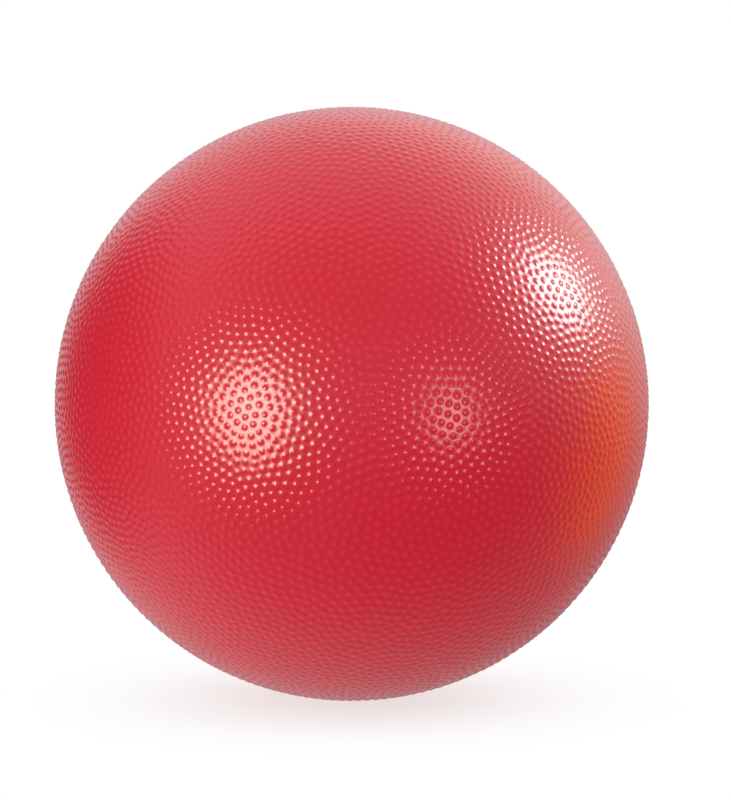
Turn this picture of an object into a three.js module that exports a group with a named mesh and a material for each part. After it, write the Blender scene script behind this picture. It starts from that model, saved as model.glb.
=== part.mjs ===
// Inflatable rubber playground ball, 215.9 mm (8.5 in) across, in the layers it is built up from.
// Millimetres, +Z up. The origin is the ball's centre and +Y points out through the inflating valve.
//
// From the outside in: a pebbled cover moulded in two halves, an inner rubber ply in two halves, a
// shell of nylon winding, and an airtight bladder. A valve housing passes through all four layers at
// the +Y pole, with its flange inside the bladder, and a soft needle valve core sits in its bore.

import * as THREE from "three";

// Driving dimensions
const BALL_RADIUS = 107.95; // over the tops of the pebbles
const FIT_GAP = 0.3; // left between pieces that touch on the real ball

const COVER_THICKNESS = 1.2; // pebbles included
const PLY_THICKNESS = 0.5;
const WINDING_THICKNESS = 0.4;
const BLADDER_THICKNESS = 0.8;

const STEM_RADIUS = 5.0; // valve housing where it passes through the wall
const FLANGE_RADIUS = 13.0;
const FLANGE_THICKNESS = 1.2;
const FLANGE_GAP = 0.8; // clears the facets on the inside of the bladder
const BOOT_ROOT_RADIUS = 6.5; // housing just inside its flange
const BOOT_TIP_RADIUS = 4.7;
const BOOT_DEPTH = 22.0; // from the valve face to the housing's inner end
const BORE_RADIUS = 3.3;
const GROOVE_RADIUS = 4.3; // ring cut in the bore that holds the core's collar
const GROOVE_DEPTH = 8.0; // from the valve face to the groove's outer side
const GROOVE_WIDTH = 3.0;

const CORE_RECESS = 0.4; // the core's face lies this far below the valve face
const CORE_LENGTH = 24.0;
const CORE_TIP_RADIUS = 1.9;
const CORE_TAPER_LENGTH = 5.0;
const FUNNEL_RADIUS = 2.1; // lead-in that guides an inflating needle
const FUNNEL_DEPTH = 1.3;
const NEEDLE_HOLE_RADIUS = 0.9;
const NEEDLE_HOLE_DEPTH = 16.0;

// Faceting. Every piece has the same facets around +Y, so the gaps between layers stay even.
const SIDES = 36;
const STEPS_PER_QUARTER = 9;
const FLANGE_STEPS = 2;

// Materials
function rubber(colour, roughness) {
  return new THREE.MeshStandardMaterial({ color: colour, roughness, metalness: 0 });
}

const redRubber = rubber(0xc4203a, 0.35);
const plyRubber = rubber(0x2a2624, 0.7);
const bladderRubber = rubber(0x161616, 0.5);
const housingRubber = rubber(0x8f1626, 0.5);
const coreRubber = rubber(0x1c1c1e, 0.6);
const nylon = new THREE.MeshStandardMaterial({ color: 0xe6e0d0, roughness: 0.8, metalness: 0 });

// The height along +Y at which a sphere about the origin has the given distance from the Y axis.
function heightOnSphere(sphereRadius, distance) {
  return Math.sqrt(sphereRadius * sphereRadius - distance * distance);
}

// Points of a meridian arc about the origin. Angles run from 0 at the -Y pole to PI at the +Y pole.
function meridian(radius, from, to, steps) {
  const points = [];
  for (let i = 0; i <= steps; i += 1) {
    const angle = from + ((to - from) * i) / steps;
    const distance = Math.abs(Math.sin(angle)) < 1e-9 ? 0 : radius * Math.sin(angle);
    points.push(new THREE.Vector2(distance, -radius * Math.cos(angle)));
  }
  return points;
}

// Turns a closed outline, given anticlockwise with the distance from the axis first, about +Y.
function revolve(name, outline, material) {
  const mesh = new THREE.Mesh(new THREE.LatheGeometry(outline, SIDES), material);
  mesh.name = name;
  return mesh;
}

// The wall between two spheres, over the meridian angles that pickAngles gives for each radius.
function sphereWall(name, outerRadius, thickness, pickAngles, steps, material) {
  const innerRadius = outerRadius - thickness;
  const outer = pickAngles(outerRadius);
  const inner = pickAngles(innerRadius);
  const outline = [
    ...meridian(outerRadius, outer.from, outer.to, steps),
    ...meridian(innerRadius, inner.to, inner.from, steps),
  ];
  if (outer.from > 0) outline.push(outline[0].clone());
  return revolve(name, outline, material);
}

// Meridian angles of the three kinds of wall: closed at -Y, open round the valve, or both.
const HOLE_RADIUS = STEM_RADIUS + FIT_GAP;
const holeEdge = (radius) => Math.PI - Math.asin(HOLE_RADIUS / radius);
const frontHalf = (radius) => ({ from: 0, to: Math.acos(FIT_GAP / 2 / radius) });
const backHalf = (radius) => ({ from: Math.acos(-FIT_GAP / 2 / radius), to: holeEdge(radius) });
const wholeBall = (radius) => ({ from: 0, to: holeEdge(radius) });

const PLY_RADIUS = BALL_RADIUS - COVER_THICKNESS - FIT_GAP;
const WINDING_RADIUS = PLY_RADIUS - PLY_THICKNESS - FIT_GAP;
const BLADDER_RADIUS = WINDING_RADIUS - WINDING_THICKNESS - FIT_GAP;

function coverHalf(name, angles) {
  return sphereWall(name, BALL_RADIUS, COVER_THICKNESS, angles, STEPS_PER_QUARTER, redRubber);
}

function plyHalf(name, angles) {
  return sphereWall(name, PLY_RADIUS, PLY_THICKNESS, angles, STEPS_PER_QUARTER, plyRubber);
}

function nylonWinding() {
  const steps = 2 * STEPS_PER_QUARTER;
  return sphereWall("nylon_winding", WINDING_RADIUS, WINDING_THICKNESS, wholeBall, steps, nylon);
}

function bladder() {
  const steps = 2 * STEPS_PER_QUARTER;
  return sphereWall("bladder", BLADDER_RADIUS, BLADDER_THICKNESS, wholeBall, steps, bladderRubber);
}

// A straight stem through the wall, a flange that seals against the inside of the bladder, and a
// tapering boot that carries the bore. Its outer end is a flat ring, the valve face.
function valveHousing() {
  const flangeOuter = BLADDER_RADIUS - BLADDER_THICKNESS - FLANGE_GAP;
  const flangeInner = flangeOuter - FLANGE_THICKNESS;
  const angleAt = (radius, distance) => Math.PI - Math.asin(distance / radius);
  const grooveTop = BALL_RADIUS - GROOVE_DEPTH;
  const grooveBottom = grooveTop - GROOVE_WIDTH;
  const bootEnd = BALL_RADIUS - BOOT_DEPTH;
  const rimOuter = angleAt(flangeOuter, FLANGE_RADIUS);
  const rimInner = angleAt(flangeInner, FLANGE_RADIUS);
  const outline = [
    new THREE.Vector2(BORE_RADIUS, bootEnd),
    new THREE.Vector2(BOOT_TIP_RADIUS, bootEnd),
    ...meridian(flangeInner, angleAt(flangeInner, BOOT_ROOT_RADIUS), rimInner, FLANGE_STEPS),
    ...meridian(flangeOuter, rimOuter, angleAt(flangeOuter, STEM_RADIUS), FLANGE_STEPS),
    new THREE.Vector2(STEM_RADIUS, BALL_RADIUS),
    new THREE.Vector2(BORE_RADIUS, BALL_RADIUS),
    new THREE.Vector2(BORE_RADIUS, grooveTop),
    new THREE.Vector2(GROOVE_RADIUS, grooveTop),
    new THREE.Vector2(GROOVE_RADIUS, grooveBottom),
    new THREE.Vector2(BORE_RADIUS, grooveBottom),
    new THREE.Vector2(BORE_RADIUS, bootEnd),
  ];
  return revolve("valve_housing", outline, housingRubber);
}

// A soft plug with a funnel and a blind needle hole. Its collar snaps into the housing's groove.
function valveCore() {
  const face = BALL_RADIUS - CORE_RECESS;
  const end = face - CORE_LENGTH;
  const shank = BORE_RADIUS - FIT_GAP;
  const collar = GROOVE_RADIUS - FIT_GAP;
  const collarTop = BALL_RADIUS - GROOVE_DEPTH - FIT_GAP;
  const collarBottom = BALL_RADIUS - GROOVE_DEPTH - GROOVE_WIDTH + FIT_GAP;
  const outline = [
    new THREE.Vector2(0, end),
    new THREE.Vector2(CORE_TIP_RADIUS, end),
    new THREE.Vector2(shank, end + CORE_TAPER_LENGTH),
    new THREE.Vector2(shank, collarBottom),
    new THREE.Vector2(collar, collarBottom),
    new THREE.Vector2(collar, collarTop),
    new THREE.Vector2(shank, collarTop),
    new THREE.Vector2(shank, face),
    new THREE.Vector2(FUNNEL_RADIUS, face),
    new THREE.Vector2(NEEDLE_HOLE_RADIUS, face - FUNNEL_DEPTH),
    new THREE.Vector2(NEEDLE_HOLE_RADIUS, face - NEEDLE_HOLE_DEPTH),
    new THREE.Vector2(0, face - NEEDLE_HOLE_DEPTH),
  ];
  return revolve("valve_core", outline, coreRubber);
}

const ball = new THREE.Group();
ball.name = "playground_ball";
ball.add(
  coverHalf("cover_front_half", frontHalf),
  coverHalf("cover_back_half", backHalf),
  plyHalf("inner_ply_front_half", frontHalf),
  plyHalf("inner_ply_back_half", backHalf),
  nylonWinding(),
  bladder(),
  valveHousing(),
  valveCore(),
);

export default ball;
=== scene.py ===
import math

import bpy
import numpy as np
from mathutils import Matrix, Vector
from mathutils.geometry import delaunay_2d_cdt
from mathutils.kdtree import KDTree


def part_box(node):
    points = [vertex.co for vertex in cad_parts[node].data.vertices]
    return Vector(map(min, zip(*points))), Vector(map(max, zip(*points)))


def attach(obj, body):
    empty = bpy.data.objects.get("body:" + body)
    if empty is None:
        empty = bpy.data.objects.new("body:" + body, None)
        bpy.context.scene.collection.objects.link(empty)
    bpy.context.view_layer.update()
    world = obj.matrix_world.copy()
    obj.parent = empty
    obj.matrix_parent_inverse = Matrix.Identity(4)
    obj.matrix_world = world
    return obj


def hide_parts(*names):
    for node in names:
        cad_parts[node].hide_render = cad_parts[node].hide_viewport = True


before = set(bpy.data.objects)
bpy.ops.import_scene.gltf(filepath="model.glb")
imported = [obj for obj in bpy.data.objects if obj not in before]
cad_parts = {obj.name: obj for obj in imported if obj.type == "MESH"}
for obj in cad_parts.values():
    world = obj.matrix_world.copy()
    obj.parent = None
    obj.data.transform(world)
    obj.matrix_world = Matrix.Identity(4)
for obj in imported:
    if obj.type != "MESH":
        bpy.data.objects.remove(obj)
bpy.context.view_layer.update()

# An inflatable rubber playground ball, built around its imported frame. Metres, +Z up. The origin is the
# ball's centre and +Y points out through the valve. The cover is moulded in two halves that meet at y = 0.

MM = 0.001
POLE = np.array([0.0, 1.0, 0.0])


# ---------------------------------------------------------------- sizes

def half_width(node):
    """Outer radius of a CAD node that is turned about the Y axis."""
    low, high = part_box(node)
    return (high.x - low.x) / 2


FIT_GAP = 0.3 * MM  # between layers that touch on the real ball
BALL_RADIUS = half_width("cover_front_half")
PLY_RADIUS = half_width("inner_ply_front_half")
WINDING_RADIUS = half_width("nylon_winding")
BLADDER_RADIUS = half_width("bladder")
COVER_INSIDE = PLY_RADIUS + FIT_GAP
HOLE_RADIUS = 5.3 * MM  # through every layer, round the valve stem

PEBBLE_PITCH = 3.55 * MM
PEBBLE_RADIUS = 1.70 * MM
PEBBLE_SPREAD = 0.05  # share by which the pebbles' radii vary
PEBBLE_HEIGHT = 0.33 * MM
PEBBLE_RINGS = (0.36, 0.7, 1.0)  # rings of vertices on a pebble, as shares of its radius
GROUND_RADIUS = BALL_RADIUS - PEBBLE_HEIGHT  # the cover between its pebbles
PEBBLE_ROOM = 0.96  # most of its own cell that a pebble fills
FLAT_SITE = 0.25 * MM  # size of a site that has no pebble
SITE_ROUNDS = 40
SITE_NEIGHBOURS = 7
SITE_REACH = 1.25  # in pitches: neighbours closer than this push each other
SITE_RATE = 0.35
INSIDE_SPACING = 6.0 * MM  # between the vertices of the cover's smooth inside

PARTING_GAP = 0.05 * MM  # each half of the cover stops this far from y = 0
PARTING_GROOVE = 0.15 * MM
PARTING_GROOVE_WIDTH = 0.4 * MM
PARTING_SITES = 226  # round the parting line
PARTING_CLEARANCE = 0.5  # in pitches: from the parting line to the nearest pebbles' middles
VALVE_SITES = 36  # on each ring round the valve
VALVE_PAD_RADIUS = 8.0 * MM  # smooth disc round the valve, as high as the pebbles
VALVE_PAD_EDGE = 1.0 * MM
VALVE_PAD_MIDDLE = 6.6 * MM
VALVE_RINGS = (HOLE_RADIUS, VALVE_PAD_MIDDLE, VALVE_PAD_RADIUS, VALVE_PAD_RADIUS + VALVE_PAD_EDGE)
VALVE_CLEARANCE = 0.4  # in pitches: from the pad's foot to the nearest pebbles' middles
HOLE_MARGIN = 1.05  # triangles with all corners within this share of the hole's radius lie over the hole
TO_FRONT = (-1.0, -1.0, 1.0)  # turns a half that is made about +Y to the front

PLY_THICKNESS = 0.5 * MM
PLY_EDGE_GAP = 0.15 * MM  # each half of the inner ply stops this far from y = 0
SKIVE_WIDTH = 4.0 * MM  # band along that edge where the ply is pared thin
SKIVE_DEPTH = 0.3 * MM
GORES = 6  # petals that each half of the inner ply is cut from
GORE_STEPS = 20  # sides of each petal's curve
GORE_SEAM_WIDTH = 0.8 * MM
GORE_SEAM_DEPTH = 0.14 * MM
PLY_ROWS = 44  # rows of vertices down to the pared band
SKIVE_ROWS = 9  # and across it
PLY_TOLERANCE = 0.01 * MM  # vertices this near the ply's radius are on its outside

SHELL_ROWS = 73  # vertices from the hole to the far pole, on the winding's skin and the bladder
SHELL_TURNS = 96  # and round them
WINDING_THICKNESS = 0.4 * MM
WINDING_BACKING = 0.1 * MM  # dried latex under the threads
THREAD_LOOPS = 130
THREAD_STEPS = 120
THREAD_WIDTH = 0.9 * MM
THREAD_HEIGHT = 0.24 * MM
THREAD_SEED = 31

BLADDER_THICKNESS = 0.8 * MM
BLADDER_SEAM = 0.15 * MM  # ridge left by the bladder's mould, and the rings round its valve
BLADDER_SEAM_WIDTH = 0.7 * MM
BLADDER_RINGS = (15.0 * MM, 17.0 * MM)

VALVE_TURNS = 72
STEM_RADIUS = 5.0 * MM
BEAD = 0.15 * MM  # height of the beads round the stem
BEAD_HALF_WIDTH = 0.35 * MM
FLANGE_CLEARANCE = 0.8 * MM  # between the flange and the bladder, for its ribs
FLANGE_THICKNESS = 1.2 * MM
FLANGE_OUTSIDE = BLADDER_RADIUS - BLADDER_THICKNESS - FLANGE_CLEARANCE
FLANGE_INSIDE = FLANGE_OUTSIDE - FLANGE_THICKNESS
FLANGE_RIBS = (11.4 * MM, 9.4 * MM, 7.4 * MM)
RIB = 0.25 * MM  # height of the ribs on the flange and the boot
RIB_HALF_WIDTH = 0.4 * MM
BOOT_ROOT_RADIUS = 6.5 * MM
BOOT_TIP_RADIUS = 4.7 * MM
BOOT_RIBS = 5
BOOT_RIB_WIDTH = 0.35  # as a share of the space from rib to rib
BORE_RADIUS = 3.3 * MM
COLLAR_GROOVE_RADIUS = 4.3 * MM
COLLAR_GROOVE_DEPTH = 8.0 * MM
COLLAR_GROOVE_WIDTH = 3.0 * MM

CORE_TIP_RADIUS = 1.9 * MM
CORE_TAPER = 5.0 * MM  # length of the taper at its inner end
FUNNEL_RADIUS = 2.1 * MM
FUNNEL_DEPTH = 1.3 * MM
NEEDLE_HOLE_RADIUS = 0.9 * MM
NEEDLE_HOLE_DEPTH = 16.0 * MM


# ---------------------------------------------------------------- mesh helpers

SHARP_ANGLE = math.radians(40)  # edges that turn by more than this are shaded sharp
ALMOST_NOTHING = 1e-9


def unit(vectors):
    return vectors / np.linalg.norm(vectors, axis=-1, keepdims=True)


def smoothstep(low, high, value):
    share = np.clip((value - low) / (high - low), 0.0, 1.0)
    return share * share * (3.0 - 2.0 * share)


def new_piece(name, vertices, faces, material, slot, *nodes):
    """Makes a smooth-shaded mesh piece that rides on the ball and stands for the given CAD nodes."""
    mesh = bpy.data.meshes.new(name)
    mesh.from_pydata(vertices, [], faces)
    mesh.validate()
    mesh.shade_smooth()
    mesh.set_sharp_from_angle(angle=SHARP_ANGLE)
    mesh.materials.append(material)
    piece = bpy.data.objects.new(name, mesh)
    bpy.context.scene.collection.objects.link(piece)
    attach(piece, "root")
    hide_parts(*nodes)


def even_turns(count):
    return np.arange(count) * 2 * math.pi / count


def circle_about_pole(angle, count):
    """Directions evenly spaced on a circle at the given angle from the +Y pole."""
    turn = even_turns(count)
    side = np.stack([np.sin(turn), np.zeros(count), np.cos(turn)], axis=1)
    return side * math.sin(angle) + POLE * math.cos(angle)


def triangulate(directions):
    """Delaunay triangles of directions on a half ball about +Y, facing out, by stereographic projection."""
    flat = directions[:, (2, 0)] / (1.0 + directions[:, 1:2])
    places = [Vector(place) for place in flat]
    _, _, triangles, origins, _, _ = delaunay_2d_cdt(places, [], [], 0, ALMOST_NOTHING)
    source = np.array([origin[0] for origin in origins])
    return source[np.array(triangles)]


# ---------------------------------------------------------------- pebbled cover

def spread_sites(seed, hole_angle):
    """Pebble sites on a half ball about +Y, outside the hole's angle from the pole. They start at random
    and push their neighbours away until they lie about one pitch apart, in loose rows."""
    pitch = PEBBLE_PITCH / BALL_RADIUS
    lowest = PARTING_CLEARANCE * pitch
    highest = math.cos(hole_angle)
    cell = pitch * pitch * math.sqrt(3) / 2
    count = round((highest - lowest) * 2 * math.pi / cell)
    random = np.random.default_rng(seed)
    height = random.uniform(lowest, highest, count)
    turn = random.uniform(0, 2 * math.pi, count)
    width = np.sqrt(1 - height * height)
    sites = np.stack([width * np.sin(turn), height, width * np.cos(turn)], axis=1)
    for _ in range(SITE_ROUNDS):
        tree = KDTree(count)
        for index, site in enumerate(sites):
            tree.insert(site, index)
        tree.balance()
        near = [[found[1] for found in tree.find_n(site, SITE_NEIGHBOURS + 1)[1:]] for site in sites]
        away = sites[:, None, :] - sites[np.array(near)]
        distance = np.linalg.norm(away, axis=2) + 1e-12  # never quite nothing, to divide by
        push = np.clip(SITE_REACH - distance / pitch, 0, None) / distance
        sites = sites + (away * push[:, :, None]).sum(axis=1) * pitch * SITE_RATE
        sites[:, 1] = np.clip(sites[:, 1], lowest, None)
        sites = unit(sites)
        over = sites[:, 1] > highest
        side = sites[over] * (1.0, 0.0, 1.0)
        sites[over] = unit(side) * math.sin(hole_angle) + POLE * highest
    return sites


def ground_level(directions, pad):
    """Radius of the cover between its pebbles: it dips at the parting line and rises to the valve's pad."""
    above = directions[:, 1] * BALL_RADIUS
    aside = np.hypot(directions[:, 0], directions[:, 2]) * BALL_RADIUS
    level = GROUND_RADIUS - PARTING_GROOVE * (1 - smoothstep(0, PARTING_GROOVE_WIDTH, above))
    if pad:
        rise = 1 - smoothstep(VALVE_PAD_RADIUS, VALVE_PAD_RADIUS + VALVE_PAD_EDGE, aside)
        near_pole = directions[:, 1] > 0
        level = level + PEBBLE_HEIGHT * rise * near_pole
    return level


def shared_point(directions, sizes, members):
    """The point between the given sites, which lies nearer to the smaller ones."""
    weight = 1.0 / sizes[members]
    return unit((directions[members] * weight[:, :, None]).sum(axis=1) / weight.sum(axis=1)[:, None])


def over_hole(directions, triangles):
    """Whether each triangle lies over the valve's hole."""
    edge = math.cos(HOLE_MARGIN * HOLE_RADIUS / BALL_RADIUS)
    return np.all(directions[triangles][:, :, 1] > edge, axis=1)


def cell_links(triangles):
    """The spokes, which run both ways between neighbouring sites, and the edges, which run once. With them
    come the numbers of the spoke out, the spoke back and the edge on each side of each triangle, and how
    many triangles share each edge."""
    following = np.roll(triangles, -1, axis=1)
    pairs = np.stack([triangles, following], axis=2)
    both_ways = np.stack([pairs, pairs[:, :, ::-1]], axis=2)
    spokes, spoke_of = np.unique(both_ways.reshape(-1, 2), axis=0, return_inverse=True)
    one_way = np.sort(pairs, axis=2).reshape(-1, 2)
    edges, edge_of, uses = np.unique(one_way, axis=0, return_inverse=True, return_counts=True)
    return spokes, spoke_of.reshape(-1, 3, 2), edges, edge_of.reshape(-1, 3), uses


def dome_vertices(sites, sizes, heights, owners, aims, pad):
    """The sites' own vertices and the rings that carry their domes, one vertex along each aim from the site
    that owns it. The starts are the numbers of the first vertex along each set of aims in each ring."""
    lengths = [np.linalg.norm(aim, axis=1) for aim in aims]
    room = np.full(len(sites), 1.0)
    for owner, length in zip(owners, lengths):
        np.minimum.at(room, owner, length)
    reach = np.minimum(sizes / BALL_RADIUS, PEBBLE_ROOM * room)
    heights = heights * reach / (sizes / BALL_RADIUS)
    parts = [sites * (ground_level(sites, pad) + heights)[:, None]]
    starts = []
    total = len(sites)
    for share in PEBBLE_RINGS:
        dome = 0.5 * (1 + math.cos(math.pi * share))
        for owner, aim, length in zip(owners, aims, lengths):
            place = unit(sites[owner] + aim * (share * reach[owner] / length)[:, None])
            parts.append(place * (ground_level(place, pad) + heights[owner] * dome)[:, None])
            starts.append(total)
            total += len(place)
    return np.concatenate(parts), np.array(starts).reshape(-1, len(aims))


def sector_faces(triangles, next_rows, previous_rows, corner_rows):
    """The faces on both sides of each corner's line: triangles at the site, then quads from ring to ring."""
    faces = [np.stack([triangles, next_rows[0], corner_rows[0]], axis=2).reshape(-1, 3)]
    faces.append(np.stack([triangles, corner_rows[0], previous_rows[0]], axis=2).reshape(-1, 3))
    for ring in range(len(PEBBLE_RINGS)):
        inner_next, outer_next = next_rows[ring], next_rows[ring + 1]
        inner_corner, outer_corner = corner_rows[ring], corner_rows[ring + 1]
        inner_last, outer_last = previous_rows[ring], previous_rows[ring + 1]
        faces.append(np.stack([inner_next, outer_next, outer_corner, inner_corner], axis=2).reshape(-1, 4))
        faces.append(np.stack([inner_corner, outer_corner, outer_last, inner_last], axis=2).reshape(-1, 4))
    return faces


def cover_surface(sites, sizes, heights, pad):
    """The outside of half a cover. Each site's cell is cut into sectors, one for each triangle that
    meets there, and rings of vertices round the site carry its dome. The chains that come back with the
    vertices and faces are the rows of vertices along its open edges, one for each pair of sites there."""
    triangles = triangulate(sites)
    if pad:
        triangles = triangles[~over_hole(sites, triangles)]
    spokes, spoke_of, edges, edge_of, uses = cell_links(triangles)
    middles = shared_point(sites, sizes, edges)
    corners = shared_point(sites, sizes, triangles)

    spoke_edge = np.zeros(len(spokes), int)
    spoke_edge[spoke_of.reshape(-1)] = np.repeat(edge_of.reshape(-1), 2)
    owners = (spokes[:, 0], triangles.reshape(-1))
    aims = (middles[spoke_edge] - sites[owners[0]], np.repeat(corners, 3, axis=0) - sites[owners[1]])
    domes, starts = dome_vertices(sites, sizes, heights, owners, aims, pad)
    middle_start = len(domes)
    corner_start = middle_start + len(middles)
    between = np.concatenate([middles, corners])
    vertices = np.concatenate([domes, between * ground_level(between, pad)[:, None]])

    out_rows = [start + spoke_of[:, :, 0] for start in starts[:, 0]]
    back_rows = [start + spoke_of[:, :, 1] for start in starts[:, 0]]
    edge_row = middle_start + edge_of
    corner_rows = [start + np.arange(triangles.size).reshape(-1, 3) for start in starts[:, 1]]
    corner_rows.append(np.repeat(corner_start + np.arange(len(triangles))[:, None], 3, axis=1))
    previous_rows = [np.roll(row, 1, axis=1) for row in back_rows + [edge_row]]
    faces = sector_faces(triangles, out_rows + [edge_row], previous_rows, corner_rows)

    along = [triangles, *out_rows, edge_row, *back_rows[::-1], np.roll(triangles, -1, axis=1)]
    chains = np.stack(along, axis=2)[uses[edge_of] == 1]
    return vertices, [face.tolist() for face in faces], chains.tolist()


def inside_sites(spacing, hole_angle):
    """Evenly spread directions on a half ball about +Y, on a spiral, clear of its edges."""
    lowest = spacing / BALL_RADIUS
    highest = math.cos(hole_angle + lowest)
    count = round((highest - lowest) * 2 * math.pi * (BALL_RADIUS / spacing) ** 2)
    step = np.arange(count) + 0.5
    height = highest - (highest - lowest) * step / count
    turn = step * math.pi * (3 - math.sqrt(5))  # the golden angle
    width = np.sqrt(1 - height * height)
    return np.stack([width * np.sin(turn), height, width * np.cos(turn)], axis=1)


def cover_half(name, node, material, seed, pad):
    """Half of the cover about +Y: its pebbled outside, a smooth inside, and the edges between them."""
    hole_angle = math.asin(HOLE_RADIUS / BALL_RADIUS) if pad else 0.0
    pad_reach = VALVE_RINGS[-1] + VALVE_CLEARANCE * PEBBLE_PITCH
    pebbles = spread_sites(seed, math.asin(pad_reach / BALL_RADIUS) if pad else 0.0)
    rim = circle_about_pole(math.pi / 2 - PARTING_GAP / BALL_RADIUS, PARTING_SITES)
    flats = [rim]
    if pad:
        flats += [circle_about_pole(math.asin(ring / BALL_RADIUS), VALVE_SITES) for ring in VALVE_RINGS]
    flats = np.concatenate(flats)
    sites = np.concatenate([flats, pebbles])
    growth = np.random.default_rng(seed + 1).normal(1.0, PEBBLE_SPREAD, len(pebbles))
    sizes = np.concatenate([np.full(len(flats), FLAT_SITE), PEBBLE_RADIUS * growth])
    heights = np.concatenate([np.zeros(len(flats)), PEBBLE_HEIGHT * np.clip(growth, None, 1.0)])
    vertices, faces, chains = cover_surface(sites, sizes, heights, pad)

    edge_sites = flats[:PARTING_SITES + VALVE_SITES] if pad else rim
    inner = np.concatenate([edge_sites, inside_sites(INSIDE_SPACING, hole_angle)])
    inner_triangles = triangulate(inner)
    if pad:
        inner_triangles = inner_triangles[~over_hole(inner, inner_triangles)]
    first = len(vertices)
    vertices = np.concatenate([vertices, inner * COVER_INSIDE])
    faces.append((first + inner_triangles[:, ::-1]).tolist())
    walls = [chain[::-1] + [first + chain[0], first + chain[-1]] for chain in chains]
    all_faces = [face for group in faces for face in group] + walls
    if not pad:
        vertices = vertices * TO_FRONT
    new_piece(name, vertices, all_faces, material, "red_cover_rubber", node)


# ---------------------------------------------------------------- turned pieces

FILLET_STEPS = 4
LONGEST_FILLET = 0.45  # as a share of the side that it is taken from


def rounded(corners):
    """An outline through (distance, height, fillet) corners, with each corner rounded by its fillet."""
    points = []
    for index, (distance, height, fillet) in enumerate(corners):
        here = np.array([distance, height])
        if fillet == 0:
            points.append(here)
            continue
        before = np.array(corners[index - 1][:2]) - here
        after = np.array(corners[(index + 1) % len(corners)][:2]) - here
        start = here + unit(before) * min(fillet, LONGEST_FILLET * np.linalg.norm(before))
        end = here + unit(after) * min(fillet, LONGEST_FILLET * np.linalg.norm(after))
        for share in np.linspace(0, 1, FILLET_STEPS + 1):
            points.append((1 - share) ** 2 * start + 2 * share * (1 - share) * here + share ** 2 * end)
    return np.array(points)


def turned(outline, turns, closed):
    """Vertices and faces of an outline of (distance, height) points turned about +Y. The outline runs
    anticlockwise, and either closes on itself or starts and ends on the axis."""
    rows = []
    vertices = []
    for distance, height in outline:
        if distance < ALMOST_NOTHING:
            rows.append([len(vertices)] * len(turns))
            vertices.append((0.0, height, 0.0))
        else:
            rows.append(list(range(len(vertices), len(vertices) + len(turns))))
            vertices += [(distance * math.sin(turn), height, distance * math.cos(turn)) for turn in turns]
    faces = []
    for row, following in zip(rows, rows[1:] + rows[:1] if closed else rows[1:]):
        for side in range(len(turns)):
            after = (side + 1) % len(turns)
            corners = dict.fromkeys((row[side], row[after], following[after], following[side]))
            faces.append(list(corners))
    return np.array(vertices), faces


def arc(radius, angles):
    """Outline points on spheres about the origin, at the given angles from the +Y pole."""
    radius = np.broadcast_to(radius, angles.shape)
    distance = np.where(angles > math.pi - ALMOST_NOTHING, 0.0, radius * np.sin(angles))
    return np.stack([distance, radius * np.cos(angles)], axis=1)


def ridge(offset, width):
    """1 at no offset, and 0 from half the width away."""
    return np.clip(1 - np.abs(offset) * 2 / width, 0, 1)


def ply_half(name, node, material, valve):
    """Half of the inner ply: petals butted along shallow seams, pared thin along the parting edge."""
    edge = math.pi / 2 - PLY_EDGE_GAP / PLY_RADIUS
    top = math.asin(HOLE_RADIUS / PLY_RADIUS) if valve else 0.0
    skived = edge - SKIVE_WIDTH / PLY_RADIUS
    angles = np.concatenate([np.linspace(top, skived, PLY_ROWS), np.linspace(skived, edge, SKIVE_ROWS)[1:]])
    pared = SKIVE_DEPTH * smoothstep(skived, edge, angles)
    inside = arc(PLY_RADIUS - PLY_THICKNESS + pared, angles)
    outside = arc(PLY_RADIUS, angles)[::-1]
    seam_turns = even_turns(GORES)[:, None] + np.array([-0.5, 0, 0.5]) * GORE_SEAM_WIDTH / PLY_RADIUS
    turns = np.concatenate([even_turns(GORES * GORE_STEPS), seam_turns.ravel() % math.tau])
    turns = np.unique(np.round(turns, 7))  # turns that differ only by rounding become one
    vertices, faces = turned(np.concatenate([inside, outside]), turns, valve)
    turn = np.arctan2(vertices[:, 0], vertices[:, 2])
    gore = math.tau / GORES
    offset = ((turn + gore / 2) % gore - gore / 2) * PLY_RADIUS
    radius = np.linalg.norm(vertices, axis=1)
    outer = radius > PLY_RADIUS - PLY_TOLERANCE
    seam = GORE_SEAM_DEPTH * ridge(offset, GORE_SEAM_WIDTH) * outer
    vertices = vertices * (1 - seam / radius)[:, None]
    if not valve:
        vertices = vertices * TO_FRONT
    new_piece(name, vertices, faces, material, "inner_ply_rubber", node)


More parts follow.
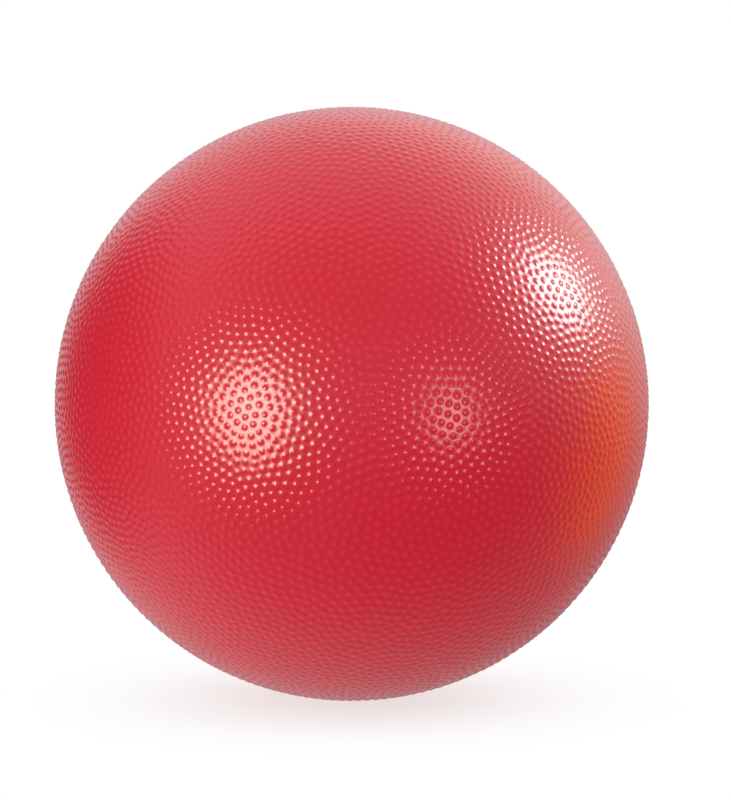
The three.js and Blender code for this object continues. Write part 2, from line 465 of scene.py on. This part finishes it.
def nylon_winding(material):
    """Threads wound in great circles, each clear of the valve, on a skin of dried latex."""
    inside = WINDING_RADIUS - WINDING_THICKNESS
    top = math.asin(HOLE_RADIUS / WINDING_RADIUS)
    angles = np.linspace(top, math.pi, SHELL_ROWS)
    skin = np.concatenate([arc(inside + WINDING_BACKING, angles[::-1]), arc(inside, angles)])
    skin_vertices, faces = turned(skin, even_turns(SHELL_TURNS), False)
    random = np.random.default_rng(THREAD_SEED)
    axes = unit(random.normal(size=(THREAD_LOOPS * 2, 3)))
    clear = math.sin(top + 2 * THREAD_WIDTH / WINDING_RADIUS)
    axes = axes[np.abs(axes[:, 1]) > clear][:THREAD_LOOPS]
    depth = random.uniform(0, WINDING_THICKNESS - THREAD_HEIGHT, len(axes))
    middle = WINDING_RADIUS - THREAD_HEIGHT / 2 - depth
    profile = np.array([(-0.5, 0), (0, -0.5), (0.5, 0), (0, 0.5)]) * (THREAD_WIDTH, THREAD_HEIGHT)
    first = unit(np.cross(axes, (1.0, 0.0, 0.0)))
    second = np.cross(axes, first)
    steps = even_turns(THREAD_STEPS)[None, :, None]
    along = first[:, None] * np.cos(steps) + second[:, None] * np.sin(steps)
    out = along[:, :, None] * (middle[:, None, None] + profile[None, None, :, 1])[..., None]
    threads = out + axes[:, None, None] * profile[None, None, :, 0, None]
    index = np.arange(threads[..., 0].size).reshape(threads.shape[:3]) + len(skin_vertices)
    ahead = np.roll(index, -1, axis=1)
    beside = np.roll(index, -1, axis=2)
    both = np.roll(ahead, -1, axis=2)
    faces += np.stack([index, ahead, both, beside], axis=-1).reshape(-1, 4).tolist()
    vertices = np.concatenate([skin_vertices, threads.reshape(-1, 3)])
    new_piece("winding", vertices, faces, material, "nylon_thread", "nylon_winding")


def bladder_shell(material):
    """The bladder, with the ridge of its mould round its middle and two raised rings round the valve."""
    top = math.asin(HOLE_RADIUS / BLADDER_RADIUS)
    ridges = [math.pi / 2] + [math.asin(ring / BLADDER_RADIUS) for ring in BLADDER_RINGS]
    half = BLADDER_SEAM_WIDTH / 2 / BLADDER_RADIUS
    close = [place + shift * half for place in ridges for shift in (-1.0, -0.5, 0.0, 0.5, 1.0)]
    angles = np.unique(np.concatenate([np.linspace(top, math.pi, SHELL_ROWS), close]))
    raised = sum(ridge((angles - place) * BLADDER_RADIUS, BLADDER_SEAM_WIDTH) for place in ridges)
    outside = arc(BLADDER_RADIUS + BLADDER_SEAM * raised, angles)[::-1]
    inside = arc(BLADDER_RADIUS - BLADDER_THICKNESS, angles)
    vertices, faces = turned(np.concatenate([outside, inside]), even_turns(SHELL_TURNS), False)
    new_piece("bladder_shell", vertices, faces, material, "bladder_rubber", "bladder")


def valve_stem(material):
    """The valve housing: a beaded stem, a ribbed flange that seals on the bladder, and a ribbed boot."""
    low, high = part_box("valve_housing")
    face, end, rim = high.y, low.y, high.x
    groove_top = face - COLLAR_GROOVE_DEPTH
    groove_bottom = groove_top - COLLAR_GROOVE_WIDTH
    corners = [(BORE_RADIUS, end, 0.3 * MM), (BOOT_TIP_RADIUS, end, 0.6 * MM)]
    root = math.sqrt(FLANGE_INSIDE ** 2 - BOOT_ROOT_RADIUS ** 2)
    for rib in range(1, BOOT_RIBS + 1):
        for shift, out in ((-0.5, 0.0), (0.0, RIB), (0.5, 0.0)):
            share = (rib + BOOT_RIB_WIDTH * shift) / (BOOT_RIBS + 1)
            radius = BOOT_TIP_RADIUS + (BOOT_ROOT_RADIUS - BOOT_TIP_RADIUS) * share + out
            corners.append((radius, end + (root - end) * share, 0.2 * MM))
    corners.append((BOOT_ROOT_RADIUS, root, 0.8 * MM))
    corners.append((rim, math.sqrt(FLANGE_INSIDE ** 2 - rim ** 2), 0.5 * MM))
    corners.append((rim, math.sqrt(FLANGE_OUTSIDE ** 2 - rim ** 2), 0.5 * MM))
    for distance in FLANGE_RIBS:
        for shift, up in ((RIB_HALF_WIDTH, 0.0), (0.0, RIB), (-RIB_HALF_WIDTH, 0.0)):
            place = distance + shift
            corners.append((place, math.sqrt(FLANGE_OUTSIDE ** 2 - place ** 2) + up, 0.15 * MM))
    corners.append((STEM_RADIUS, math.sqrt(FLANGE_OUTSIDE ** 2 - STEM_RADIUS ** 2), 0.3 * MM))
    for height in (BLADDER_RADIUS, COVER_INSIDE):
        for shift, out in ((-BEAD_HALF_WIDTH, 0.0), (0.0, BEAD), (BEAD_HALF_WIDTH, 0.0)):
            corners.append((STEM_RADIUS + out, height + shift, 0.1 * MM))
    corners += [(STEM_RADIUS, face, 0.35 * MM), (BORE_RADIUS, face, 0.4 * MM)]
    corners += [(BORE_RADIUS, groove_top, 0.2 * MM), (COLLAR_GROOVE_RADIUS, groove_top, 0.3 * MM)]
    corners += [(COLLAR_GROOVE_RADIUS, groove_bottom, 0.3 * MM), (BORE_RADIUS, groove_bottom, 0.2 * MM)]
    vertices, faces = turned(rounded(corners), even_turns(VALVE_TURNS), True)
    new_piece("valve_stem", vertices, faces, material, "valve_housing_rubber", "valve_housing")


def needle_core(material):
    """The valve core: a soft plug with a funnel for the needle and a collar that snaps into the stem."""
    low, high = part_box("valve_core")
    end, face, collar = low.y, high.y, high.x
    shank = BORE_RADIUS - FIT_GAP
    groove_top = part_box("valve_housing")[1].y - COLLAR_GROOVE_DEPTH
    collar_top = groove_top - FIT_GAP
    collar_bottom = groove_top - COLLAR_GROOVE_WIDTH + FIT_GAP
    corners = [(0.0, end, 0), (CORE_TIP_RADIUS, end, 0.8 * MM), (shank, end + CORE_TAPER, 2.0 * MM)]
    corners += [(shank, collar_bottom, 0.3 * MM), (collar, collar_bottom, 0.4 * MM)]
    corners += [(collar, collar_top, 0.4 * MM), (shank, collar_top, 0.3 * MM)]
    corners += [(shank, face, 0.35 * MM), (FUNNEL_RADIUS, face, 0.5 * MM)]
    corners += [(NEEDLE_HOLE_RADIUS, face - FUNNEL_DEPTH, 0.5 * MM)]
    corners += [(NEEDLE_HOLE_RADIUS, face - NEEDLE_HOLE_DEPTH, 0.4 * MM), (0.0, face - NEEDLE_HOLE_DEPTH, 0)]
    vertices, faces = turned(rounded(corners), even_turns(VALVE_TURNS), False)
    new_piece("needle_core", vertices, faces, material, "valve_core_rubber", "valve_core")


# ---------------------------------------------------------------- materials

class Nodes:
    """A material's or a world's node tree, with short calls that add a node and link its inputs."""

    def __init__(self, tree):
        self.tree = tree
        tree.nodes.clear()

    def add(self, kind, settings=None, **inputs):
        node = self.tree.nodes.new(kind)
        for key, value in (settings or {}).items():
            setattr(node, key, value)
        for key, value in inputs.items():
            self.set(node, key, value)
        return node

    def set(self, node, key, value):
        """Sets an input or links a socket to it. The key i0 is the first input, and an underscore in a
        key stands for a space."""
        numbered = key[0] == "i" and key[1:].isdigit()
        socket = node.inputs[int(key[1:]) if numbered else key.replace("_", " ")]
        if isinstance(value, bpy.types.NodeSocket):
            self.tree.links.new(value, socket)
        else:
            socket.default_value = value

    def place(self):
        return self.add("ShaderNodeTexCoord").outputs["Object"]

    def length(self, vector):
        return self.add("ShaderNodeVectorMath", {"operation": "LENGTH"}, i0=vector).outputs["Value"]

    def math(self, operation, first, second):
        return self.add("ShaderNodeMath", {"operation": operation}, i0=first, i1=second).outputs[0]

    def ramp(self, value, low, high, to_low=0.0, to_high=1.0, smooth=True):
        """Maps low..high to to_low..to_high, eased at both ends when smooth."""
        kind = "SMOOTHSTEP" if smooth else "LINEAR"
        node = self.add("ShaderNodeMapRange", {"interpolation_type": kind}, Value=value)
        for key, number in (("From Min", low), ("From Max", high), ("To Min", to_low), ("To Max", to_high)):
            node.inputs[key].default_value = number
        return node.outputs[0]

    def noise(self, place, scale, detail):
        return self.add("ShaderNodeTexNoise", Vector=place, Scale=scale, Detail=detail).outputs["Fac"]

    def mix_colour(self, share, first, second):
        node = self.add("ShaderNodeMix", {"data_type": "RGBA"}, Factor=share)
        self.set(node, "i6", first)
        self.set(node, "i7", second)
        return node.outputs[2]


def new_material(name):
    material = bpy.data.materials.new(name)
    material.use_nodes = True
    return material, Nodes(material.node_tree)


def finish_material(nodes, colour, roughness, bump, bump_distance):
    """A Principled surface with the given colour and roughness, and a bump from one height value."""
    relief = nodes.add("ShaderNodeBump", Height=bump, Distance=bump_distance).outputs[0]
    surface = nodes.add("ShaderNodeBsdfPrincipled", Base_Color=colour, Roughness=roughness, Normal=relief)
    nodes.add("ShaderNodeOutputMaterial", Surface=surface.outputs[0])
    return surface


def red_rubber():
    """Satin red rubber, a little smoother on the pebbles' tops, with painted shade on the ground between the
    pebbles that leaves their tops paler.
    """
    material, nodes = new_material("satin_red_rubber")
    place = nodes.place()
    top = nodes.ramp(nodes.length(place), GROUND_RADIUS, BALL_RADIUS)
    clouds = nodes.noise(place, 14.0, 3.0)
    # Painted shade: three quarters of the colour's change follows height, darker down on the ground between
    # the pebbles; the rest is random tone
    tint = nodes.math("ADD", nodes.math("MULTIPLY", top, 0.75), nodes.math("MULTIPLY", clouds, 0.25))
    # The ground's darker red is painted shade between the pebbles, and the crest's red is the tops' colour
    painted_shade_ground = (0.55, 0.0085, 0.025, 1)
    crest = (0.665, 0.0120, 0.033, 1)
    colour = nodes.mix_colour(tint, painted_shade_ground, crest)
    rough = nodes.math("ADD", nodes.ramp(clouds, 0.3, 0.7, 0.235, 0.265), nodes.math("MULTIPLY", top, -0.02))
    grain = nodes.noise(place, 1400.0, 1.0)
    surface = finish_material(nodes, colour, rough, grain, 0.003 * MM)
    surface.inputs["IOR"].default_value = 1.5
    return material


def black_ply_rubber():
    """Matte black rubber, pressed while soft against the threads under it."""
    material, nodes = new_material("pressed_black_ply")
    place = nodes.place()
    clouds = nodes.noise(place, 40.0, 4.0)
    colour = nodes.mix_colour(clouds, (0.016, 0.014, 0.012, 1), (0.034, 0.029, 0.025, 1))
    rough = nodes.ramp(clouds, 0.3, 0.7, 0.62, 0.78)
    drawn = nodes.add("ShaderNodeMapping", Vector=place, Rotation=(0.5, 0.3, 0.9), Scale=(1.0, 0.12, 1.0))
    imprint = nodes.noise(drawn.outputs[0], 900.0, 2.0)
    surface = finish_material(nodes, colour, rough, imprint, 0.08 * MM)
    surface.inputs["Specular IOR Level"].default_value = 0.35
    return material


def cream_nylon():
    """Undyed nylon thread, fine-stranded, with paler and darker lengths."""
    material, nodes = new_material("cream_nylon_thread")
    place = nodes.place()
    lengths = nodes.noise(place, 60.0, 3.0)
    colour = nodes.mix_colour(lengths, (0.68, 0.60, 0.46, 1), (0.88, 0.84, 0.76, 1))
    rough = nodes.ramp(lengths, 0.3, 0.7, 0.7, 0.85)
    strands = nodes.noise(place, 6000.0, 2.0)
    surface = finish_material(nodes, colour, rough, strands, 0.05 * MM)
    surface.inputs["Sheen Weight"].default_value = 0.3
    return material


def black_butyl():
    """Satin black butyl rubber with a patchy bloom of talc."""
    material, nodes = new_material("talced_black_butyl")
    place = nodes.place()
    talc = nodes.ramp(nodes.noise(place, 30.0, 6.0), 0.45, 0.75)
    colour = nodes.mix_colour(talc, (0.009, 0.009, 0.010, 1), (0.050, 0.049, 0.047, 1))
    rough = nodes.ramp(talc, 0.0, 1.0, 0.36, 0.7)
    grain = nodes.noise(place, 1500.0, 3.0)
    finish_material(nodes, colour, rough, grain, 0.02 * MM)
    return material


def dark_red_rubber():
    """The valve housing's darker red rubber, with a fine mould grain."""
    material, nodes = new_material("dark_red_valve_rubber")
    place = nodes.place()
    clouds = nodes.noise(place, 300.0, 3.0)
    colour = nodes.mix_colour(clouds, (0.24, 0.010, 0.018, 1), (0.31, 0.014, 0.026, 1))
    rough = nodes.ramp(clouds, 0.3, 0.7, 0.36, 0.5)
    grain = nodes.noise(place, 4000.0, 2.0)
    finish_material(nodes, colour, rough, grain, 0.015 * MM)
    return material


def black_core_rubber():
    """Soft black rubber, wet here and there with the oil that eases a needle in."""
    material, nodes = new_material("oiled_black_core")
    place = nodes.place()
    oil = nodes.ramp(nodes.noise(place, 450.0, 3.0), 0.4, 0.65)
    colour = nodes.mix_colour(oil, (0.016, 0.016, 0.017, 1), (0.010, 0.010, 0.011, 1))
    rough = nodes.ramp(oil, 0.0, 1.0, 0.5, 0.28)
    grain = nodes.noise(place, 5000.0, 2.0)
    finish_material(nodes, colour, rough, grain, 0.012 * MM)
    return material


# ---------------------------------------------------------------- pieces

def build_pieces():
    rubber = red_rubber()
    cover_half("cover_front", "cover_front_half", rubber, seed=11, pad=False)
    cover_half("cover_back", "cover_back_half", rubber, seed=23, pad=True)
    ply = black_ply_rubber()
    ply_half("inner_ply_front", "inner_ply_front_half", ply, valve=False)
    ply_half("inner_ply_back", "inner_ply_back_half", ply, valve=True)
    nylon_winding(cream_nylon())
    bladder_shell(black_butyl())
    valve_stem(dark_red_rubber())
    needle_core(black_core_rubber())


# ---------------------------------------------------------------- floor

WHITE = (1, 1, 1, 1)
FLOOR_RADIUS = 4.0
FLOOR_SIDES = 64
FLOOR_FADE_START = 0.02
FLOOR_FADE_END = 0.13
FLOOR_FADE_LEAST = 0.7  # share of plain white in the floor right under the ball


def pale_floor():
    """A round pale floor under the ball, which fades to plain white away from it."""
    material, nodes = new_material("pale_floor")
    away = nodes.length(nodes.place())
    paper = nodes.add("ShaderNodeBsdfDiffuse", Color=(0.9, 0.9, 0.9, 1))
    glow = nodes.add("ShaderNodeEmission", Color=WHITE, Strength=1.0)
    fade = nodes.ramp(away, FLOOR_FADE_START, FLOOR_FADE_END, FLOOR_FADE_LEAST, 1.0)
    mixed = nodes.add("ShaderNodeMixShader", Fac=fade, i1=paper.outputs[0], i2=glow.outputs[0])
    nodes.add("ShaderNodeOutputMaterial", Surface=mixed.outputs[0])
    turns = even_turns(FLOOR_SIDES)
    rim = [(FLOOR_RADIUS * math.cos(turn), FLOOR_RADIUS * math.sin(turn), 0) for turn in turns]
    mesh = bpy.data.meshes.new("floor")
    mesh.from_pydata(rim, [], [range(FLOOR_SIDES)])
    mesh.materials.append(material)
    floor = bpy.data.objects.new("floor", mesh)
    floor.location.z = -BALL_RADIUS
    floor.visible_glossy = False
    floor.visible_diffuse = False
    bpy.context.scene.collection.objects.link(floor)


# ---------------------------------------------------------------- studio

# What the rubber mirrors, with 1 as bright as white paper. An aim is a direction from the ball. A pair of
# angles is in degrees from that aim: all of the effect inside the first, and none outside the second.
ROOM_FRONT = 0.21
ROOM_BACK = 1.08
ROOM_TURN = (-0.65, 0.15)  # y of the directions where it goes from the one to the other
HORIZON = (-0.25, 0.25)  # z of the directions between what is under the ball and the room
UNDER_MIDDLE = 0.60
UNDER_SLOPE = -0.33  # change in the brightness under the ball, from the middle to the far right
UNDER_FRONT = 0.1  # share of that brightness that is left in front of the ball
UNDER_TURN = (-0.7, 0.3)
GAP_AIM = (-0.85, 0.40, 0.05)
GAP_ANGLES = (18, 45)
GAP_LEVEL = 0.04
GLOW_AIM = (0.55, 0.68, 0.45)
GLOW_ANGLES = (5, 48)
GLOW_COLOUR = (1.6, 1.42, 1.3, 1)
WARM_AIM = (0.88, 0.40, -0.25)
WARM_ANGLES = (8, 26)
WARM_COLOUR = (6.0, 1.8, 0.0, 1)
BACKDROP_COLOUR = (0.62, 1.0, 1.06, 1)
BACKDROP_TURN = (0.86, 0.98)

# What lights the rubber's own colour.
FILL_LEVEL = 0.94
FILL_BELOW = 1.17  # shares of that level
FILL_ABOVE = 1.02
FILL_LEFT = 1.04
FILL_RIGHT = 0.98
SHADE_AIM = (0.6, -0.45, -0.6)
SHADE_ANGLES = (10, 55)
SHADE_LEVEL = 0.43

LIGHT_DISTANCE = 1.2


def lobe(nodes, direction, aim, inner, outer):
    """1 within the inner angle of an aim and 0 beyond the outer one, in degrees."""
    aim = Vector(aim).normalized()
    along = nodes.add("ShaderNodeVectorMath", {"operation": "DOT_PRODUCT"}, i0=direction, i1=aim)
    return nodes.ramp(along.outputs["Value"], math.cos(math.radians(outer)), math.cos(math.radians(inner)))


def mirrored_level(nodes, direction, x, y, z):
    """How bright the studio is in the rubber's reflections: bright behind and overhead, dim in front,
    with one dark gap on the left."""
    room = nodes.ramp(y, *ROOM_TURN, ROOM_FRONT, ROOM_BACK)
    under = nodes.math("ADD", UNDER_MIDDLE, nodes.math("MULTIPLY", x, UNDER_SLOPE))
    under = nodes.math("MULTIPLY", under, nodes.ramp(y, *UNDER_TURN, UNDER_FRONT, 1.0))
    rise = nodes.ramp(z, *HORIZON)
    level = nodes.add("ShaderNodeMix", {"data_type": "FLOAT"}, Factor=rise, i2=under, i3=room).outputs[0]
    gap = lobe(nodes, direction, GAP_AIM, *GAP_ANGLES)
    return nodes.math("MULTIPLY", level, nodes.ramp(gap, 0, 1, 1.0, GAP_LEVEL, smooth=False))


def studio_tints(nodes, direction, y):
    """The fill's tint, which is white with a soft glow high on the right at the back, and the tint of what
    the rubber mirrors, which adds an orange card low on the right and a cool backdrop."""
    glow = lobe(nodes, direction, GLOW_AIM, *GLOW_ANGLES)
    fill = nodes.mix_colour(glow, WHITE, GLOW_COLOUR)
    warm = lobe(nodes, direction, WARM_AIM, *WARM_ANGLES)
    mirrored = nodes.mix_colour(warm, fill, WARM_COLOUR)
    return fill, nodes.mix_colour(nodes.ramp(y, *BACKDROP_TURN), mirrored, BACKDROP_COLOUR)


def fill_strength(nodes, direction, x, z):
    """How strongly the studio lights the rubber's own colour: about evenly, but less from low on the right
    in front."""
    level = nodes.ramp(z, -1, 1, FILL_BELOW * FILL_LEVEL, FILL_ABOVE * FILL_LEVEL, smooth=False)
    level = nodes.math("MULTIPLY", level, nodes.ramp(x, -1, 1, FILL_LEFT, FILL_RIGHT, smooth=False))
    shade = lobe(nodes, direction, SHADE_AIM, *SHADE_ANGLES)
    return nodes.math("MULTIPLY", level, nodes.ramp(shade, 0, 1, 1.0, SHADE_LEVEL, smooth=False))


def studio_world():
    """A soft studio round the ball. Diffuse rays see its fill, mirror rays see its cards and gap, and the
    camera sees plain white."""
    world = bpy.data.worlds.new("studio")
    bpy.context.scene.world = world
    world.use_nodes = True
    nodes = Nodes(world.node_tree)
    direction = nodes.add("ShaderNodeTexCoord").outputs["Generated"]
    x, y, z = nodes.add("ShaderNodeSeparateXYZ", Vector=direction).outputs
    fill_tint, mirrored_tint = studio_tints(nodes, direction, y)
    level = mirrored_level(nodes, direction, x, y, z)
    strength = fill_strength(nodes, direction, x, z)
    mirrored = nodes.add("ShaderNodeBackground", Color=mirrored_tint, Strength=level).outputs[0]
    fill = nodes.add("ShaderNodeBackground", Color=fill_tint, Strength=strength).outputs[0]
    white = nodes.add("ShaderNodeBackground", Color=WHITE, Strength=1.0).outputs[0]
    path = nodes.add("ShaderNodeLightPath").outputs
    lit = nodes.add("ShaderNodeMixShader", Fac=path["Is Diffuse Ray"], i1=mirrored, i2=fill).outputs[0]
    seen = nodes.add("ShaderNodeMixShader", Fac=path["Is Camera Ray"], i1=lit, i2=white).outputs[0]
    nodes.add("ShaderNodeOutputWorld", Surface=seen)


def soft_light(name, azimuth, elevation, radius, radiance, colour=(1, 1, 1), stretch=1, roll=0, fills=False):
    """A disc light that faces the ball, hidden from the camera. Azimuth 0 is on the camera's side and 90
    is on its right, in degrees. It shows only in reflections, or if it fills, lights only diffusely."""
    lamp = bpy.data.lights.new(name, "AREA")
    lamp.shape = "ELLIPSE"
    lamp.size = 2 * radius
    lamp.size_y = 2 * radius * stretch
    lamp.energy = radiance * math.pi * math.pi * radius * radius * stretch
    lamp.color = colour
    light = bpy.data.objects.new(name, lamp)
    across, up = math.radians(azimuth), math.radians(elevation)
    aim = Vector((math.sin(across) * math.cos(up), -math.cos(across) * math.cos(up), math.sin(up)))
    light.location = aim * LIGHT_DISTANCE
    light.rotation_euler = aim.to_track_quat("Z", "Y").to_euler()
    light.rotation_euler.rotate_axis("Z", math.radians(roll))
    light.visible_camera = False
    light.visible_diffuse = fills
    light.visible_glossy = not fills
    bpy.context.scene.collection.objects.link(light)


def studio_lights():
    soft_light("left_softbox", -37.4, 0.6, radius=0.275, radiance=18, colour=(1.0, 0.95, 0.78), stretch=1.3)
    soft_light("right_softbox", 36.6, 1.0, radius=0.145, radiance=10, colour=(1.0, 0.97, 0.88), stretch=1.3)
    soft_light("high_right_softbox", 102.4, 28, radius=0.18, radiance=27, stretch=1.4, roll=45)
    soft_light("front_fill", -25, 10, radius=0.6, radiance=1, fills=True)


# ---------------------------------------------------------------- camera

CAMERA_DISTANCE = 1.6
CAMERA_ELEVATION = math.radians(6)
CAMERA_LENS = 197.9
CAMERA_ASIDE = 5.0 * MM
CAMERA_RAISE = 1.4 * MM


def add_camera():
    """A long lens in front of the ball, a little above its middle, that sees it just left of centre."""
    data = bpy.data.cameras.new("camera")
    data.lens = CAMERA_LENS
    data.dof.use_dof = False
    camera = bpy.data.objects.new("camera", data)
    back = Vector((0, -math.cos(CAMERA_ELEVATION), math.sin(CAMERA_ELEVATION)))
    turn = back.to_track_quat("Z", "Y")
    camera.rotation_euler = turn.to_euler()
    camera.location = back * CAMERA_DISTANCE + turn @ Vector((CAMERA_ASIDE, CAMERA_RAISE, 0))
    bpy.context.scene.collection.objects.link(camera)
    bpy.context.scene.camera = camera


add_camera()
build_pieces()
pale_floor()
studio_world()
studio_lights()
bpy.context.scene.view_settings.view_transform = "Standard"
